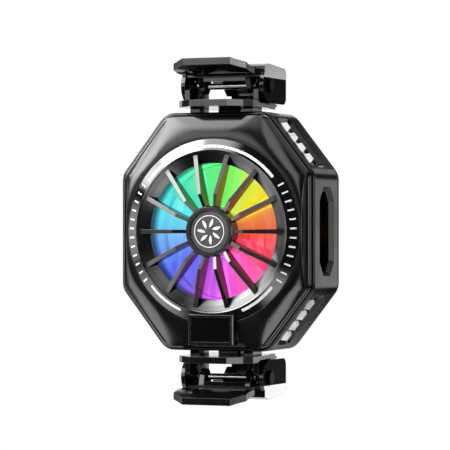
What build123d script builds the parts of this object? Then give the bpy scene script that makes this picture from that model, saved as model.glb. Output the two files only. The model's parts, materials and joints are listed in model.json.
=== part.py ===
from build123d import *
import math
import os

# Phone cooling fan with two spring clamps. Millimetres. +X is right, +Z is up, -Y is the fan side.
# The origin is the middle of the soft pad's outer face, where the phone's back lies.
os.makedirs("parts", exist_ok=True)

# Fits and small sizes
fit_gap = 0.05
slide_gap = 0.10
cut_overrun = 2.0
edge_break = 0.3

# Rotor and the light tube round it: the rotor's radius drives the size of the whole body
tip_radius = 17.4
tip_gap = 1.2
opening_radius = tip_radius + tip_gap
tube_wall = 1.2
tube_outer = opening_radius + tube_wall
light_board_gap = 0.1
light_board_inner = tube_outer + light_board_gap
board_thickness = 1.0
lamp_count = 14
lamp_size = 1.4
lamp_height = 0.7
lamp_radius = light_board_inner + lamp_size

# Funnel, flange and trim ring round the opening
funnel_width = 3.2
flange_step = 1.2
ring_band_width = 3.4
ring_lip_width = 0.35
ring_inner_radius = opening_radius + funnel_width
flange_radius = ring_inner_radius + flange_step
ring_outer_radius = ring_inner_radius + ring_band_width

# Cooling stack behind the rotor
sink_margin = 1.0
fin_count = 16
fin_thickness = 0.75
module_margin = 3.4
gasket_gap = 0.4
raised_margin = 2.0
plate_corner = 3.0
pad_margin = 0.8
sink_half = tip_radius + sink_margin
module_half = sink_half - module_margin
raised_half = sink_half - raised_margin
pad_half = raised_half - pad_margin

# Shelf, control board and body, from the inside out
frame_wall = 1.8
shelf_rim = 2.0
shelf_bore_gap = 0.9
control_gap = 0.3
control_width = 5.8
control_wall_gap = 0.2
frame_extra_z = 4.0
shelf_half = sink_half + shelf_rim
shelf_bore = tip_radius + shelf_bore_gap
control_inner_x = shelf_half + control_gap
control_outer_x = control_inner_x + control_width
frame_half_x = control_outer_x + control_wall_gap + frame_wall
frame_half_z = frame_half_x + frame_extra_z

# Octagon outlines of the body and of the crown under the ring
corner_cut_x = 13.2
corner_cut_z = 16.8
corner_radius = 5.0
cover_inset = 0.8
cover_wall = 1.7
crown_margin = 0.5
crown_half = ring_outer_radius + crown_margin
crown_cut_share = 0.584
crown_radius_share = 0.817
crown_steps = 4
crown_curve = 1.7
rim_width = 1.35
rim_width_z = 0.35
rim_height = 1.15
rim_radius = 1.05
shoulder_radius = 0.7

# Depths of the layers, from the phone side to the fan side
pad_sheet = 0.8
plate_proud = 0.2
rear_thickness = 2.0
plate_flange = 1.0
module_thickness = 3.0
sink_base = 1.2
fin_height = 3.8
shelf_thickness = 1.2
base_thickness = 1.2
rotor_back_gap = 1.0
rotor_depth = 4.9
guard_gap = 0.3
flange_thickness = 1.15
ring_seat_depth = 1.35
ring_rise = 1.6
hub_rise = 1.1
pad_face_y = 0.0
plate_back_y = pad_face_y - pad_sheet
rear_back_y = plate_back_y - plate_proud
rear_front_y = rear_back_y - rear_thickness
module_back_y = rear_front_y - plate_flange
sink_back_y = module_back_y - module_thickness
fin_back_y = sink_back_y - sink_base
shelf_back_y = fin_back_y - fin_height
base_back_y = shelf_back_y - shelf_thickness
base_front_y = base_back_y - base_thickness
rotor_back_y = base_front_y - rotor_back_gap
rotor_front_y = rotor_back_y - rotor_depth
guard_back_y = rotor_front_y - guard_gap
flange_front_y = guard_back_y - flange_thickness
ring_edge_y = flange_front_y - ring_seat_depth
ring_lip_y = ring_edge_y - ring_rise
hub_front_y = ring_lip_y - hub_rise

# Front cover and frame edge
pocket_step = 0.2
seam_height = 0.3
cover_skirt = 2.5
cover_edge_y = guard_back_y
rim_front_y = cover_edge_y - rim_height
cover_pocket_y = cover_edge_y + pocket_step
frame_front_y = cover_edge_y + seam_height
cover_back_y = frame_front_y + cover_skirt
body_mid_y = (frame_front_y + rear_front_y) / 2

# Guard: funnel, spokes and hub
funnel_depth = 1.8
opening_y = ring_lip_y + funnel_depth
spoke_count = 14
spoke_width = 0.95
spoke_tip_width = 1.3
spoke_crest = 1.1
spoke_root_drop = 0.5
spoke_tip_drop = 0.6
spoke_tip_set = 0.6
spoke_kink_run = 3.5
spoke_foot = 0.5
hub_radius = 6.9
hub_rim = 1.2
hub_recess_depth = 1.0
hub_back_set = 1.0
hub_wall = 0.9
hub_cup_floor = 1.0
spoke_outer_radius = ring_inner_radius - spoke_tip_set
spoke_kink_radius = hub_radius + spoke_kink_run
spoke_inner_radius = hub_radius - edge_break
spoke_kink_y = hub_front_y - spoke_crest
spoke_root_y = hub_front_y + spoke_root_drop
spoke_tip_y = ring_lip_y + spoke_tip_drop
spoke_back_y = opening_y + spoke_foot
hub_recess_radius = hub_radius - hub_rim
hub_recess_y = hub_front_y + hub_recess_depth
hub_back_y = guard_back_y - hub_back_set

# Hub badge
badge_set = 0.4
badge_relief = 0.12
badge_blades = 7
badge_blade_inner = 1.1
badge_blade_outer = 3.5
badge_blade_width = 0.42
badge_ring_set = 1.4
badge_ring_width = 0.25
badge_face_y = hub_front_y + badge_set
badge_ring_radius = hub_recess_radius - badge_ring_set

# Display block
display_half_x = 6.6
display_height = 8.4
display_ring_gap = 0.6
display_rim = 0.9
display_window_depth = 1.1
display_window_set = 0.12
display_board_thickness = 0.9
display_module_inset = 0.6
display_front_y = ring_lip_y
display_top_z = -ring_inner_radius - display_ring_gap
display_bottom_z = display_top_z - display_height

# Rotor blades, hub, shaft and bearing
blade_count = 9
blade_root_chord = 5.4
blade_tip_chord = 8.6
blade_root_pitch = 48
blade_tip_pitch = 28
blade_camber = 0.8
blade_thickness = 0.7
blade_back_set = 2.3
rotor_hub_radius = 7.0
rotor_hub_wall = 0.8
blade_root_sink = 0.5
rotor_boss_radius = 1.7
rotor_boss_length = 1.5
magnet_thickness = 0.95
magnet_length = 3.4
shaft_radius = 0.75
shaft_tail = 0.3
bearing_radius = 1.95
bearing_length = 3.6
motor_tube_wall = 0.75
blade_root_radius = rotor_hub_radius - blade_root_sink
blade_mid_y = rotor_back_y - blade_back_set
magnet_outer = rotor_hub_radius - rotor_hub_wall
magnet_inner = magnet_outer - magnet_thickness
bearing_front_y = base_front_y - bearing_length
motor_tube_radius = bearing_radius + motor_tube_wall

# Stator and motor board
air_gap = 0.35
stator_hub_wall = 0.3
stator_length = 3.0
stator_set = 1.1
stator_poles = 4
pole_neck = 1.7
pole_depth = 0.8
winding_radius = 1.35
winding_gap = 0.07
winding_thickness = 0.7
motor_board_set = 1.0
motor_board_thickness = 0.6
stator_radius = magnet_inner - air_gap
stator_back_y = base_front_y - stator_set
stator_front_y = stator_back_y - stator_length
winding_arm = motor_tube_radius + stator_hub_wall + winding_gap + winding_thickness / 2
motor_board_radius = rotor_hub_radius - motor_board_set

# Fan base: ring, struts and lugs
strut_count = 3
strut_width = 1.6
base_ring_width = 1.6
lug_set = 3.7
lug_radius = 2.2
fan_screw_radius = 0.75
fan_screw_head = 1.4
fan_screw_head_height = 0.7
base_ring_outer = opening_radius + base_ring_width
lug_offset = shelf_half - lug_set

# Rear screws and their posts
post_set_x = 2.3
post_set_z = 2.0
post_radius = 2.1
rear_screw_radius = 0.9
rear_screw_head = 1.7
rear_screw_head_depth = 1.1
rear_screw_length = 6.1
rear_screw_drive = 0.3
post_x = frame_half_x - corner_cut_x - post_set_x
post_z = frame_half_z - frame_wall - post_set_z

# Side recesses, at half length and half depth of the outer bevel
recess_shift = 0.75
recess_half_z = 12.1
recess_half_y = 5.6
recess_corner_z = 3.7
recess_corner_y = 3.0
recess_bevel = 1.3
recess_depth = 1.15
recess_mid_y = body_mid_y + recess_shift
arm_set = 0.9
arm_height = 2.4
arm_low_z = recess_half_z + arm_set

# USB-C inlet and control board
socket_shift = 0.1
socket_half_z = 4.47
socket_half_y = 1.6
socket_length = 6.6
socket_wall = 0.3
socket_floor = 0.9
socket_tongue_half_z = 3.3
socket_tongue_thickness = 0.7
socket_tongue_length = 4.9
control_half_z = 10.0
ledge_width = 1.8
ledge_height = 2.4
chip_size = 3.0
chip_gap = 1.5
chip_height = 0.9
socket_mid_y = recess_mid_y - socket_shift

# Corner vents, measured along the corner face
vent_shift = 1.75
vent_end_margin = 2.08
vent_half_depth = 4.6
vent_bevel = 0.9
vent_sink = 1.0
vent_radius = 1.6
slope_length = math.hypot(corner_cut_x, corner_cut_z)
vent_mid_y = body_mid_y - vent_shift
vent_half_length = slope_length / 2 - vent_end_margin
vent_floor_half_length = vent_half_length - vent_bevel
vent_floor_half_depth = vent_half_depth - vent_bevel

# Strip of faceted studs in the front half of each vent, and the dark slot in its back half
stud_count = 4
stud_gap = 0.15
stud_height = 1.5
stud_crest_length = 1.9
stud_crest_depth = 0.7
strip_thickness = 0.35
strip_end_gap = 0.5
strip_side_gap = 0.1
strip_half_depth = 1.6
slot_side_gap = 0.1
slot_strip_gap = 0.5
slot_rib = 0.8
strip_half_length = vent_floor_half_length - strip_end_gap
strip_set = vent_floor_half_depth - strip_side_gap - strip_half_depth
stud_pitch = 2 * strip_half_length / stud_count
stud_size = stud_pitch - stud_gap
slot_outer_edge = vent_floor_half_depth - slot_side_gap
slot_inner_edge = strip_half_depth - strip_set + slot_strip_gap

# Clamp carriage: nosed plate, ears, guide legs and return rod
carriage_lift = 1.4
carriage_plate = 1.8
carriage_overhang = 0.8
carriage_nose_half = 5.5
carriage_nose_run = 3.3
carriage_shoulder_half = 9.0
carriage_shoulder_run = 2.5
carriage_half_x = 10.9
carriage_tail_y = -8.0
carriage_tail_half = 9.3
carriage_back_y = -0.6
ear_thickness = 1.4
ear_front_y = -17.0
ear_step = 3.0
ear_back_y = -6.0
ear_radius = 2.2
leg_inner_x = 6.5
leg_width = 2.8
leg_front_gap = 0.8
leg_depth = 6.5
guide_wall = 1.1
guide_sink_gap = 1.5
leg_end_gap = 0.7
rod_set = 1.7
rod_radius = 0.9
foot_radius = 2.2
foot_thickness = 0.8
boss_half_x = 3.4
boss_half_y = 3.0
boss_corner = 0.9
carriage_low_z = frame_half_z + carriage_lift
carriage_high_z = carriage_low_z + carriage_plate
carriage_front_y = hub_front_y - carriage_overhang
carriage_shoulder_y = carriage_front_y + carriage_nose_run
carriage_side_y = carriage_shoulder_y + carriage_shoulder_run
ear_inner_x = carriage_half_x - ear_thickness
ear_step_z = carriage_high_z + ear_step
leg_outer_x = leg_inner_x + leg_width
leg_front_y = cover_back_y + leg_front_gap
leg_back_y = leg_front_y + leg_depth
guide_bottom_z = sink_half + guide_sink_gap
leg_bottom_z = guide_bottom_z + leg_end_gap
rod_y = leg_back_y + rod_set
rod_bottom_z = shelf_half
boss_top_z = carriage_low_z - slide_gap

# Clamp pin
pin_y = -12.2
pin_rise = 4.3
pin_radius = 0.9
pin_head_radius = 1.95
pin_head_length = 0.8
pin_end_gap = 0.08
clip_radius = 1.6
clip_thickness = 0.5
pin_z = carriage_high_z + pin_rise

# Clamp springs
torsion_wire = 0.36
torsion_radius = 1.36
torsion_pitch = 0.78
torsion_side_gap = 0.2
torsion_lean = 28
torsion_high_leg = 1.6
torsion_start_x = ear_inner_x - torsion_side_gap - torsion_wire / 2
return_wire = 0.4
return_radius = 1.6
return_turns = 6
return_end_gap = 0.05

# Lever: swept finger plate
lever_overhang = 2.0
lever_sweep_run = 9.0
lever_rise = 2.85
lever_sweep_radius = 19.9
lever_thickness = 1.65
lever_nose_half = 7.0
lever_half_x = 10.7
lever_shoulder_run = 2.6
lever_waist_run = 8.6
lever_neck_run = 2.4
lever_neck_half = 8.4
lever_front_y = hub_front_y - lever_overhang
lever_flat_y = lever_front_y + lever_sweep_run
lever_shoulder_y = lever_front_y + lever_shoulder_run
lever_waist_y = lever_front_y + lever_waist_run
lever_neck_y = lever_waist_y + lever_neck_run
lever_under_z = pin_z + lever_rise

# Lever: jaw block, cheeks, arms and ribs
block_front_run = 3.2
block_ridge_run = 3.0
block_lift = 0.2
block_front_height = 2.8
block_ridge_height = 3.5
block_back_height = 2.7
block_back_y = 0.2
block_corner = 0.9
block_roof = 2.4
cheek_gap = 0.2
cheek_thickness = 1.1
cheek_radius = 4.6
cheek_drop = 0.6
cheek_corner = 2.0
arm_spring_room = 1.9
arm_thickness = 1.4
arm_top_half_y = 2.9
rib_thickness = 0.8
rib_depth = 1.2
rib_front_set = 0.4
rib_back_set = 7.0
block_half_x = carriage_half_x + cheek_gap + cheek_thickness
block_front_y = pin_y - block_front_run
block_ridge_y = block_front_y + block_ridge_run
block_under_z = pin_z + ear_radius + block_lift
block_front_z = block_under_z + block_front_height
block_ridge_z = block_under_z + block_ridge_height
block_back_z = block_under_z + block_back_height
cheek_bottom_z = carriage_high_z - cheek_drop
arm_outer_x = ear_inner_x - arm_spring_room
arm_inner_x = arm_outer_x - arm_thickness
rib_front_y = block_front_y + rib_front_set
rib_back_y = block_front_y + rib_back_set

# Lever: hook behind the block, and its pad
phone_room = 10.0
hook_block_lap = 2.0
hook_top_drop = 0.9
hook_top_half = 7.8
hook_rise = 2.1
hook_low_half = 4.8
hook_lip = 1.8
hook_lip_drop = 2.6
hook_rib = 1.3
hook_floor = 1.8
pad_thickness = 1.2
pad_grip_set = 0.4
pad_lip = 0.8
pad_start = 0.6
hook_front_y = block_back_y - hook_block_lap
hook_back_y = pad_face_y + phone_room + hook_lip
hook_top_z = block_back_z - hook_top_drop
hook_low_z = carriage_high_z + hook_rise
hook_lip_z = hook_low_z - hook_lip_drop
hook_pocket_floor_z = hook_low_z + hook_floor
pad_grip_half = hook_low_half - pad_grip_set
pad_front_y = pad_face_y + pad_start


def slab(sketch, near, far):
    """An outline drawn as X and Z, made solid from depth near to depth far."""
    return extrude(Plane.XZ.offset(-far) * sketch, amount=far - near, dir=(0, -1, 0))


def block(x1, x2, y1, y2, z1, z2):
    """A box between two corners."""
    middle = Pos((x1 + x2) / 2, (y1 + y2) / 2, (z1 + z2) / 2)
    return middle * Box(x2 - x1, y2 - y1, z2 - z1)


def rod(radius, near, far, x=0, z=0):
    """A round bar along Y."""
    return slab(Pos(x, z) * Circle(radius), near, far)


def ring(outer, inner, near, far):
    return slab(Circle(outer) - Circle(inner), near, far)


def cross_bar(radius, x1, x2, y, z):
    """A round bar along X."""
    return extrude(Plane.YZ.offset(x1) * Pos(y, z) * Circle(radius), amount=x2 - x1)


def octagon(half_x, half_z, cut_x, cut_z, radius):
    """A rounded octagon, wider cuts in Z than in X."""
    right = half_x - cut_x
    top = half_z - cut_z
    corners = [(half_x, -top), (half_x, top), (right, half_z), (-right, half_z)]
    corners += [(-x, -z) for x, z in corners]
    outline = Polygon(*corners, align=None)
    return fillet(outline.vertices(), radius)


def frame_octagon_sizes(inset):
    """Half widths, cuts and corner radius of the body's outline, drawn in by an even wall."""
    slope = math.hypot(corner_cut_x, corner_cut_z)
    lost_x = inset * (corner_cut_x + corner_cut_z - slope) / corner_cut_z
    lost_z = inset * (corner_cut_x + corner_cut_z - slope) / corner_cut_x
    cut_x = corner_cut_x - lost_x
    cut_z = corner_cut_z - lost_z
    return frame_half_x - inset, frame_half_z - inset, cut_x, cut_z, corner_radius - inset


def frame_octagon(inset):
    return octagon(*frame_octagon_sizes(inset))


def turned(points):
    """A ring turned about the fan's axis from points of radius and depth."""
    face = Plane.XY * Polygon(*points, align=None)
    return revolve(face, Axis.Y)


def along_x(profile, x1, x2):
    """A side outline drawn as Y and Z, made solid from x1 to x2."""
    return extrude(Plane.YZ.offset(x1) * profile, amount=x2 - x1, dir=(1, 0, 0))


def raised(outline, z1, z2):
    """A plan outline made solid from z1 to z2."""
    return extrude(Plane.XY.offset(z1) * outline, amount=z2 - z1, dir=(0, 0, 1))


def both_sides(shape):
    return [shape, shape.mirror(Plane.YZ)]


def four_corners(shape):
    right = [shape, shape.mirror(Plane.XY)]
    return right + [piece.mirror(Plane.YZ) for piece in right]


def around(shape, count):
    return [shape.rotate(Axis.Y, 360 * index / count) for index in range(count)]


def export(shape, node):
    if isinstance(shape, (list, ShapeList)):
        shape = Compound(children=list(shape))
    export_step(shape, "parts/" + node + ".step")


# Front cover: a rounded rim, and a crown that curves from its octagon up to the round trim ring
crown_cut = crown_half * crown_cut_share
crown_top = (crown_half, crown_half, crown_cut, crown_cut, crown_half * crown_radius_share)
foot_x, foot_z, foot_cut_x, foot_cut_z, foot_radius = frame_octagon_sizes(cover_inset + rim_width)
foot_rise = rim_width - rim_width_z
crown_foot = (
    foot_x,
    foot_z + foot_rise,
    foot_cut_x + foot_rise * corner_cut_x / corner_cut_z,
    foot_cut_z + foot_rise,
    foot_radius,
)
crown_sections = []
for index in range(crown_steps + 1):
    share = index / crown_steps
    sizes = [top + (foot - top) * share for top, foot in zip(crown_top, crown_foot)]
    section_y = ring_edge_y + (rim_front_y - ring_edge_y) * share ** crown_curve
    crown_sections.append(Plane.XZ.offset(-section_y) * octagon(*sizes))
crown = loft(crown_sections) + slab(octagon(*crown_foot), rim_front_y, cover_edge_y)
skirt = slab(frame_octagon(cover_inset), rim_front_y, cover_back_y)
skirt_rim = skirt.faces().sort_by(Axis.Y)[0].edges()
skirt = fillet(skirt_rim, rim_radius)
display_cut = block(
    -display_half_x - fit_gap,
    display_half_x + fit_gap,
    display_front_y - cut_overrun,
    guard_back_y + fit_gap,
    display_bottom_z - fit_gap,
    display_top_z + fit_gap,
)
board_window = block(
    -display_half_x + display_module_inset,
    display_half_x - display_module_inset,
    guard_back_y - fit_gap,
    cover_back_y + cut_overrun,
    display_bottom_z + display_module_inset,
    display_top_z,
)
front_cover = crown + skirt
front_cover -= slab(frame_octagon(cover_inset + cover_wall), cover_pocket_y, cover_back_y + cut_overrun)
front_cover -= rod(flange_radius + fit_gap, ring_edge_y - cut_overrun, cover_back_y)
front_cover -= rod(ring_outer_radius + fit_gap, ring_edge_y - cut_overrun, flange_front_y)
front_cover -= display_cut
front_cover -= board_window
export(front_cover, "front_cover")

# Trim ring: the raised band round the opening
trim_ring = turned([
    (ring_outer_radius, flange_front_y),
    (ring_outer_radius, ring_edge_y),
    (ring_inner_radius + ring_lip_width, ring_lip_y),
    (ring_inner_radius, ring_lip_y + ring_lip_width / 2),
    (ring_inner_radius, flange_front_y),
])
trim_ring -= display_cut
export(trim_ring, "trim_ring")

# Fan guard: funnel, kinked spokes and hub cup in one moulding
funnel_outer = ring_inner_radius - fit_gap
funnel = turned([
    (funnel_outer, ring_lip_y + ring_lip_width),
    (opening_radius, opening_y),
    (opening_radius, guard_back_y),
    (flange_radius, guard_back_y),
    (flange_radius, flange_front_y),
    (funnel_outer, flange_front_y),
])
spoke_profile = Plane.YZ * Polygon(
    (spoke_root_y, spoke_inner_radius),
    (spoke_kink_y, spoke_kink_radius),
    (spoke_tip_y, spoke_outer_radius),
    (opening_y, spoke_outer_radius),
    (spoke_back_y, opening_radius + ring_lip_width),
    (spoke_back_y, spoke_inner_radius),
    align=None,
)
spoke_plan = Polygon(
    (-spoke_width / 2, spoke_inner_radius),
    (spoke_width / 2, spoke_inner_radius),
    (spoke_width / 2, spoke_kink_radius),
    (spoke_tip_width / 2, spoke_outer_radius),
    (-spoke_tip_width / 2, spoke_outer_radius),
    (-spoke_width / 2, spoke_kink_radius),
    align=None,
)
spoke = extrude(spoke_profile, amount=spoke_tip_width / 2, both=True)
spoke &= slab(spoke_plan, spoke_kink_y, spoke_back_y)
spoke = spoke.rotate(Axis.Y, 90)
hub_cup = turned([
    (0, hub_recess_y),
    (hub_recess_radius, hub_recess_y),
    (hub_recess_radius, hub_front_y),
    (hub_radius - edge_break, hub_front_y),
    (hub_radius, hub_front_y + edge_break),
    (hub_radius, hub_back_y),
    (hub_radius - hub_wall, hub_back_y),
    (hub_radius - hub_wall, hub_recess_y + hub_cup_floor),
    (0, hub_recess_y + hub_cup_floor),
])
fan_guard = funnel + hub_cup + around(spoke, spoke_count)
fan_guard -= display_cut
export(fan_guard, "fan_guard")

# Hub badge: a plain pinwheel of curved blades inside a thin circle
badge_disc = rod(hub_recess_radius - fit_gap, badge_face_y, hub_recess_y)
badge_start = Vector(0, badge_blade_inner)
badge_end = Vector(badge_blade_inner, badge_blade_outer)
badge_inner_edge = ThreePointArc(
    badge_start,
    (badge_start + badge_end) / 2 + Vector(-badge_blade_width / 2, badge_blade_width / 2),
    badge_end,
)
badge_outer_edge = ThreePointArc(
    badge_end,
    (badge_start + badge_end) / 2 + Vector(badge_blade_width, -badge_blade_width),
    badge_start,
)
badge_front_y = badge_face_y - badge_relief
badge_blade = slab(make_face([badge_inner_edge, badge_outer_edge]), badge_front_y, badge_face_y)
badge_circle = ring(
    badge_ring_radius + badge_ring_width / 2,
    badge_ring_radius - badge_ring_width / 2,
    badge_front_y,
    badge_face_y,
)
hub_badge = badge_disc + badge_circle + around(badge_blade, badge_blades)
export(hub_badge, "hub_badge")

# Display block at the foot of the ring
display_housing = block(
    -display_half_x,
    display_half_x,
    display_front_y,
    guard_back_y,
    display_bottom_z,
    display_top_z,
)
display_housing = chamfer(display_housing.faces().sort_by(Axis.Y)[0].edges(), edge_break)
window_box = [
    -display_half_x + display_rim,
    display_half_x - display_rim,
    display_front_y + display_window_set,
    display_front_y + display_window_depth,
    display_bottom_z + display_rim,
    display_top_z - display_rim,
]
window_cut = block(
    window_box[0] - fit_gap,
    window_box[1] + fit_gap,
    display_front_y - cut_overrun,
    window_box[3],
    window_box[4] - fit_gap,
    window_box[5] + fit_gap,
)
module_box = [
    window_box[0] + display_module_inset,
    window_box[1] - display_module_inset,
    window_box[3],
    guard_back_y,
    window_box[4] + display_module_inset,
    window_box[5] - display_module_inset,
]
module_cut = block(
    module_box[0] - fit_gap,
    module_box[1] + fit_gap,
    module_box[2] - fit_gap,
    guard_back_y + cut_overrun,
    module_box[4] - fit_gap,
    module_box[5] + fit_gap,
)
display_housing = display_housing - window_cut - module_cut
export(display_housing, "display_housing")
export(block(*window_box), "display_window")
display_board = block(*module_box) + block(
    -display_half_x + display_module_inset + fit_gap,
    display_half_x - display_module_inset - fit_gap,
    guard_back_y,
    guard_back_y + display_board_thickness,
    display_bottom_z + display_module_inset + fit_gap,
    -flange_radius - fit_gap,
)
export(display_board, "display_board")

# Light tube round the rotor, with the ring of lamps behind the guard's flange
export(ring(tube_outer, opening_radius, guard_back_y, base_front_y), "light_diffuser")
light_board_back_y = guard_back_y + board_thickness
light_ring = ring(flange_radius - fit_gap, light_board_inner, guard_back_y, light_board_back_y)
export(light_ring, "light_ring_board")
lamp = block(
    lamp_radius - lamp_size / 2,
    lamp_radius + lamp_size / 2,
    light_board_back_y,
    light_board_back_y + lamp_height,
    -lamp_size / 2,
    lamp_size / 2,
)
export(around(lamp, lamp_count), "light_ring_lamps")


# Clamp guides and return rods pass through the frame's top and bottom walls
def up_and_down(shape):
    return [shape, shape.mirror(Plane.XY)]


guide_outer = block(
    leg_inner_x - guide_wall,
    leg_outer_x + guide_wall,
    cover_back_y + fit_gap,
    leg_back_y + guide_wall,
    guide_bottom_z,
    frame_half_z - frame_wall / 2,
)
guide_cut = block(
    leg_inner_x - slide_gap,
    leg_outer_x + slide_gap,
    leg_front_y - slide_gap,
    leg_back_y + slide_gap,
    guide_bottom_z - cut_overrun,
    frame_half_z + cut_overrun,
)
rod_boss = block(
    -boss_half_x,
    boss_half_x,
    rod_y - boss_half_y,
    rod_y + boss_half_y,
    frame_half_z - frame_wall / 2,
    boss_top_z,
)
rod_boss = fillet(rod_boss.edges().filter_by(Axis.Z), boss_corner)
rod_cut = Pos(0, rod_y, frame_half_z) * Cylinder(rod_radius + slide_gap, 2 * frame_wall + 2 * cut_overrun)

# Mid frame: octagon tube with a front rim, motor shelf, screw posts and clamp guides
mid_frame = slab(frame_octagon(0), frame_front_y, rear_front_y)
front_rim = mid_frame.faces().sort_by(Axis.Y)[0].edges()
mid_frame = fillet(front_rim, shoulder_radius)
mid_frame -= slab(frame_octagon(cover_inset - fit_gap), frame_front_y - cut_overrun, cover_back_y)
mid_frame -= slab(frame_octagon(frame_wall), cover_back_y - fit_gap, rear_front_y + cut_overrun)
shelf_outline = RectangleRounded(2 * shelf_half, 2 * shelf_half, plate_corner) - Circle(shelf_bore)
mid_frame += slab(shelf_outline, base_back_y, shelf_back_y)
shelf_arm = block(
    shelf_half - frame_wall,
    frame_half_x - frame_wall / 2,
    base_back_y,
    shelf_back_y,
    arm_low_z,
    arm_low_z + arm_height,
)
shelf_arm &= slab(frame_octagon(frame_wall / 2), base_back_y, shelf_back_y)
rear_post = rod(post_radius, shelf_back_y, rear_front_y, post_x, post_z)
mid_frame += four_corners(shelf_arm)
mid_frame += four_corners(rear_post)
mid_frame += four_corners(guide_outer)
mid_frame += up_and_down(rod_boss)
mid_frame -= four_corners(guide_cut)
mid_frame -= up_and_down(rod_cut)
head_floor_y = rear_back_y - rear_screw_head_depth
rear_screw_tip_y = head_floor_y - rear_screw_length
rear_screw_hole = rod(rear_screw_radius, rear_screw_tip_y, rear_front_y + cut_overrun, post_x, post_z)
fan_screw_hole = rod(fan_screw_radius, base_back_y - fit_gap, shelf_back_y, lug_offset, lug_offset)
sink_room = 2 * sink_half + 2 * slide_gap
mid_frame -= four_corners(rear_screw_hole)
mid_frame -= four_corners(fan_screw_hole)
mid_frame -= slab(Rectangle(sink_room, sink_room), shelf_back_y, sink_back_y)


def recess_outline(inset):
    """A long octagon in depth and height for the side recess."""
    half_y = recess_half_y - inset
    half_z = recess_half_z - inset
    low_y = half_y - recess_corner_y + inset / 2
    low_z = half_z - recess_corner_z + inset / 2
    corners = [(half_y, -low_z), (half_y, low_z), (low_y, half_z), (-low_y, half_z)]
    corners += [(-y, -z) for y, z in corners]
    return Pos(recess_mid_y, 0) * Polygon(*corners, align=None)


recess_floor_x = frame_half_x - recess_depth
side_bevel = loft([
    Plane.YZ.offset(frame_half_x + fit_gap) * recess_outline(0),
    Plane.YZ.offset(recess_floor_x) * recess_outline(recess_bevel),
])
mid_frame -= both_sides(side_bevel)
mid_frame -= along_x(recess_outline(recess_bevel), recess_floor_x - cut_overrun, recess_floor_x)
socket_outline = Pos(socket_mid_y, 0) * RectangleRounded(
    2 * socket_half_y + 2 * slide_gap,
    2 * socket_half_z + 2 * slide_gap,
    socket_half_y,
)
mid_frame -= along_x(socket_outline, -frame_half_x, -recess_floor_x + cut_overrun)
ledge = block(
    -frame_half_x + frame_wall / 2,
    -control_outer_x + ledge_width,
    socket_mid_y + socket_half_y + board_thickness,
    rear_front_y,
    control_half_z - ledge_height,
    control_half_z,
)
mid_frame += up_and_down(ledge)

# Corner vents: a bevelled slot in each slanted face, with a strip of faceted studs in its front half
slope_normal = Vector(corner_cut_z / slope_length, 0, corner_cut_x / slope_length)
slope_along = Vector(corner_cut_x / slope_length, 0, -corner_cut_z / slope_length)
slope_middle = Vector(frame_half_x - corner_cut_x / 2, vent_mid_y, frame_half_z - corner_cut_z / 2)
vent_plane = Plane(origin=slope_middle, x_dir=slope_along, z_dir=slope_normal)
depth_sign = 1 if vent_plane.y_dir.Y > 0 else -1
vent_mouth = RectangleRounded(2 * vent_half_length, 2 * vent_half_depth, vent_radius)
vent_floor = RectangleRounded(
    2 * vent_floor_half_length,
    2 * vent_floor_half_depth,
    vent_radius - vent_bevel / 2,
)
vent_cut = loft([
    vent_plane.offset(fit_gap) * vent_mouth,
    vent_plane.offset(-vent_sink) * vent_floor,
])
slot_depth = slot_outer_edge - slot_inner_edge
slot_outline = RectangleRounded(stud_pitch - slot_rib, slot_depth, slot_depth / 4)
mid_frame -= four_corners(vent_cut)
for index in range(stud_count):
    place = (index - (stud_count - 1) / 2) * stud_pitch
    in_slot = Pos(place, depth_sign * (slot_outer_edge + slot_inner_edge) / 2)
    vent_slot = extrude(vent_plane.offset(-vent_sink) * in_slot * slot_outline, amount=-cut_overrun)
    mid_frame -= four_corners(vent_slot)
export(mid_frame, "mid_frame")

strip = extrude(
    vent_plane.offset(-vent_sink)
    * Pos(0, -depth_sign * strip_set)
    * Rectangle(2 * strip_half_length, 2 * strip_half_depth),
    amount=strip_thickness,
)
stud = loft([
    Rectangle(stud_size, 2 * strip_half_depth),
    Pos(0, 0, stud_height) * Rectangle(stud_crest_length, stud_crest_depth),
])
vent_studs = strip
for index in range(stud_count):
    place = (index - (stud_count - 1) / 2) * stud_pitch
    on_strip = Pos(place, -depth_sign * strip_set, strip_thickness)
    vent_studs += vent_plane.offset(-vent_sink).location * on_strip * stud
export(vent_studs, "vent_studs_upper_right")
export(vent_studs.mirror(Plane.YZ), "vent_studs_upper_left")
export(vent_studs.mirror(Plane.XY), "vent_studs_lower_right")
export(vent_studs.mirror(Plane.XY).mirror(Plane.YZ), "vent_studs_lower_left")

# Rear cover
rear_cover = slab(frame_octagon(0), rear_front_y, rear_back_y)
rear_cover = fillet(rear_cover.faces().sort_by(Axis.Y)[-1].edges(), shoulder_radius)
raised_gap = RectangleRounded(
    2 * raised_half + 2 * slide_gap,
    2 * raised_half + 2 * slide_gap,
    plate_corner,
)
rear_cover -= slab(raised_gap, rear_front_y - cut_overrun, rear_back_y + cut_overrun)
rear_cover -= four_corners(
    rod(rear_screw_radius + slide_gap, rear_front_y - fit_gap, rear_back_y, post_x, post_z)
)
rear_cover -= four_corners(
    rod(rear_screw_head + slide_gap, head_floor_y, rear_back_y + cut_overrun, post_x, post_z)
)
export(rear_cover, "rear_cover")

rear_screw = rod(rear_screw_radius, rear_screw_tip_y, head_floor_y, post_x, post_z)
rear_screw += rod(rear_screw_head, head_floor_y, rear_back_y - edge_break, post_x, post_z)
drive_floor_y = rear_back_y - edge_break - rear_screw_drive
drive_slot = rod(rear_screw_radius / 2, drive_floor_y, rear_back_y, post_x, post_z)
export(four_corners(rear_screw - drive_slot), "rear_screws")

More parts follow.
